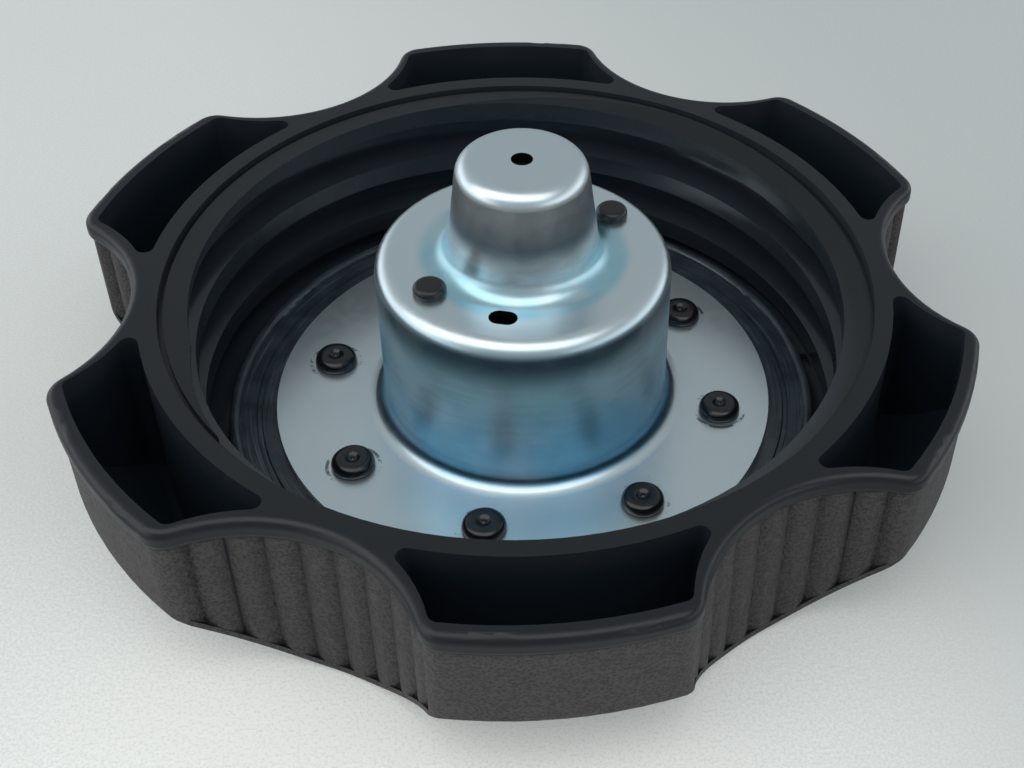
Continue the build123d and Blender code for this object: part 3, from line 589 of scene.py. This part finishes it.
# ---- valve carrier ------------------------------------------------------------------------------
# The moulding that holds the valves under the hat's shoulder: black acetal, injection moulded. Two
# of its studs come up through the shoulder, where their ends are staked over with a flat punch.
acetal, tree, here = new_material("black_acetal_moulded")
cloth = add(tree, "TexNoise", {"Vector": here, "Scale": 1 / 0.0007, "Detail": 4.0, "Roughness": 0.65})
rise = add(tree, "SeparateXYZ", {0: add(tree, "TexCoord", {}, "Normal")}, 2)
punched = add(tree, "MapRange", {0: rise, 1: 0.8, 2: 0.97}, interpolation_type="SMOOTHSTEP")
skin = add(tree, "Mix", {0: cloth, 6: tone("0E0F12"), 7: tone("1A1B1F")}, 2, data_type="RGBA")
colour = add(tree, "Mix", {0: punched, 6: skin, 7: tone("141417")}, 2, data_type="RGBA")
rough = add(tree, "MapRange", {0: punched, 3: 0.28, 4: 0.34})
add(tree, "OutputMaterial", {"Surface": add(tree, "BsdfPrincipled", {
    "Base Color": colour, "Roughness": rough, "IOR": 1.48,
    "Normal": add(tree, "Bump", {"Height": cloth, "Distance": 0.00003, "Strength": 1.0}),
})})
nodes["valve_carrier"].material_slots[0].material = acetal


# ---- ball cage and vacuum valve -----------------------------------------------------------------
# Two small mouldings in natural acetal, milky and slightly waxy: the cage that keeps the rollover
# ball over its seat, and the mushroom valve whose stem slides through the pressure disc.
milky, tree, here = new_material("natural_acetal_moulded")
flow = add(tree, "TexNoise", {"Vector": here, "Scale": 1 / 0.004, "Detail": 3.0})
colour = add(tree, "Mix", {0: flow, 6: tone("D8D4C7"), 7: tone("E6E3D9")}, 2, data_type="RGBA")
rough = add(tree, "MapRange", {0: flow, 1: 0.3, 2: 0.7, 3: 0.3, 4: 0.42}, interpolation_type="SMOOTHSTEP")
add(tree, "OutputMaterial", {"Surface": add(tree, "BsdfPrincipled", {
    "Base Color": colour, "Roughness": rough, "IOR": 1.48,
    "Normal": add(tree, "Bump", {"Height": flow, "Distance": 0.00002, "Strength": 1.0}),
})})
for name in ("ball_cage", "vacuum_valve"):
    nodes[name].material_slots[0].material = milky


# ---- rollover ball ------------------------------------------------------------------------------
# A hardened bearing-steel ball, ground and lapped, that shuts the port if the car turns over. It
# is mirror bright, with faint rub marks from rattling in its cage.
lapped, tree, here = new_material("bearing_steel_lapped")
rubs = add(tree, "TexNoise", {"Vector": here, "Scale": 1 / 0.0006, "Detail": 3.0, "Distortion": 1.0})
worn = add(tree, "MapRange", {0: rubs, 1: 0.55, 2: 0.7}, interpolation_type="SMOOTHSTEP")
colour = add(tree, "Mix", {0: worn, 6: tone("C9CBCE"), 7: tone("B4B5B7")}, 2, data_type="RGBA")
rough = add(tree, "MapRange", {0: worn, 3: 0.07, 4: 0.2})
add(tree, "OutputMaterial", {"Surface": add(tree, "BsdfPrincipled", {
    "Base Color": colour, "Roughness": rough, "Metallic": 1.0,
})})
nodes["rollover_ball"].material_slots[0].material = lapped


# ---- valve springs ------------------------------------------------------------------------------
# Two compression springs of hard-drawn wire, coiled cold: a large one under the pressure disc and
# a small one round the vacuum valve's stem. Their end coils are closed and ground flat.
def coiled(coil_r, wire_r, low, high, turns, closed, steps, sides):
    """Points and faces of a compression spring about the cap's axis.

    A circle of the wire's radius is carried along a helix. The helix climbs 0.8 of the wire's
    thickness in each closed turn at the ends, and evenly over the turns between. Heights beyond the
    low and high faces are cut back to them, which is the grinding, and each end has a flat lid.
    """
    travel = np.linspace(0.0, turns, int(turns * steps) + 1)
    climb = high - low - 2 * wire_r
    ends = (0.0, closed, turns - closed, turns)
    end_climb = 1.6 * wire_r * closed
    middle = np.interp(travel, ends, (0.0, end_climb, climb - end_climb, climb))
    around = 2 * np.pi * travel[:, None]
    section = np.linspace(0.0, 2 * np.pi, sides, endpoint=False)
    reach = coil_r + wire_r * np.cos(section)
    rise = middle[:, None] + low + wire_r + wire_r * np.sin(section)
    points = np.stack((reach * np.cos(around), reach * np.sin(around), np.clip(rise, low, high)), axis=-1)
    lids = np.repeat(points[[0, -1]].mean(axis=1, keepdims=True), sides, axis=1)
    points = np.concatenate((lids[:1], points, lids[1:]))
    return points, grid_faces(len(points), sides)[:, ::-1]


wire, tree, here = new_material("spring_steel_drawn_wire")

# The die's lines in the wire are about 0.05 mm apart, drawn at 0.5 mm so that they show.
die_lines = add(tree, "TexNoise", {"Vector": here, "Scale": 1 / 0.0005, "Detail": 4.0, "Roughness": 0.6})
colour = add(tree, "Mix", {0: die_lines, 6: tone("868A90"), 7: tone("A6AAAE")}, 2, data_type="RGBA")
rough = add(
    tree, "MapRange", {0: die_lines, 1: 0.3, 2: 0.7, 3: 0.24, 4: 0.38}, interpolation_type="SMOOTHSTEP",
)
add(tree, "OutputMaterial", {"Surface": add(tree, "BsdfPrincipled", {
    "Base Color": colour, "Roughness": rough, "Metallic": 1.0,
    "Normal": add(tree, "Bump", {"Height": die_lines, "Distance": 0.00001, "Strength": 1.0}),
})})
for name in ("snap_ring", "stem_clip"):
    nodes[name].material_slots[0].material = wire

large_low, large_high, pressure_travel = 0.0096, 0.02215, 0.0025
large_shape = coiled(
    coil_r=0.0090, wire_r=0.00055, low=large_low, high=large_high,
    turns=6.0, closed=1.0, steps=64, sides=20,
)
large = new_piece("pressure_coil", *large_shape, wire)
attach(large, "cap")
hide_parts("pressure_spring")
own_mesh(large)

small_low, small_high, vacuum_travel = 0.0172, 0.02215, 0.0012
small_shape = coiled(
    coil_r=0.0021, wire_r=0.0002, low=small_low, high=small_high,
    turns=6.0, closed=1.0, steps=40, sides=12,
)
small = new_piece("vacuum_coil", *small_shape, wire)
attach(small, "pressure_valve")
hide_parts("vacuum_spring")
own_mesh(small)


# ---- filter -------------------------------------------------------------------------------------
# A disc of open-cell polyurethane foam, die cut from sheet, laid in the well of the cap's floor to
# keep dust out of the valves. The cut edge bulges and the faces are slightly crowned.
foam, tree, here = new_material("polyurethane_foam_open_cell")

# Cells of about 0.8 mm, 30 to the inch: pale webs round hollows painted dark, as painted shade in the cells.
cells = add(
    tree, "TexVoronoi", {"Vector": here, "Scale": 1 / 0.0008}, "Distance", feature="DISTANCE_TO_EDGE",
)
hollow_shade_share = add(tree, "MapRange", {0: cells, 1: 0.02, 2: 0.18}, interpolation_type="SMOOTHSTEP")
# The hollows' dark colour is painted shade.
colour = add(tree, "Mix", {0: hollow_shade_share, 6: tone("4A4B4E"), 7: tone("191A1C")}, 2, data_type="RGBA")
hollow = add(tree, "Math", {0: 1.0, 1: hollow_shade_share}, operation="SUBTRACT")
add(tree, "OutputMaterial", {"Surface": add(tree, "BsdfPrincipled", {
    "Base Color": colour, "Roughness": 0.9, "IOR": 1.50,
    "Normal": add(tree, "Bump", {"Height": hollow, "Distance": 0.00035, "Strength": 1.0}),
})})

# Each face is crowned by a fourth power of the radius, and the cut edge is half of an oval.
foam_r, foam_low, foam_high, foam_soft, foam_crown = 0.0165, 0.0022, 0.0072, 0.0008, 0.0002
arc = np.linspace(-np.pi / 2, np.pi / 2, 15)
foam_middle, foam_half = (foam_low + foam_high) / 2, (foam_high - foam_low) / 2
inner = np.linspace(0.0, foam_r - foam_soft, 24)
crown = foam_crown * (inner / inner[-1]) ** 4
pad_r = np.concatenate((inner + 1e-6, foam_r - foam_soft * (1 - np.cos(arc[1:-1])), inner[::-1] + 1e-6))
pad_edge = foam_middle + (foam_half - foam_crown) * np.sin(arc[1:-1])
pad_z = np.concatenate((foam_low + crown, pad_edge, foam_high - crown[::-1]))
pad_shape = turned(pad_r, pad_z, sides=96, centres=np.zeros((1, 2)), wobble=0.02)
pad = new_piece("filter_pad", *pad_shape, foam)
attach(pad, "cap")
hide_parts("filter_foam")
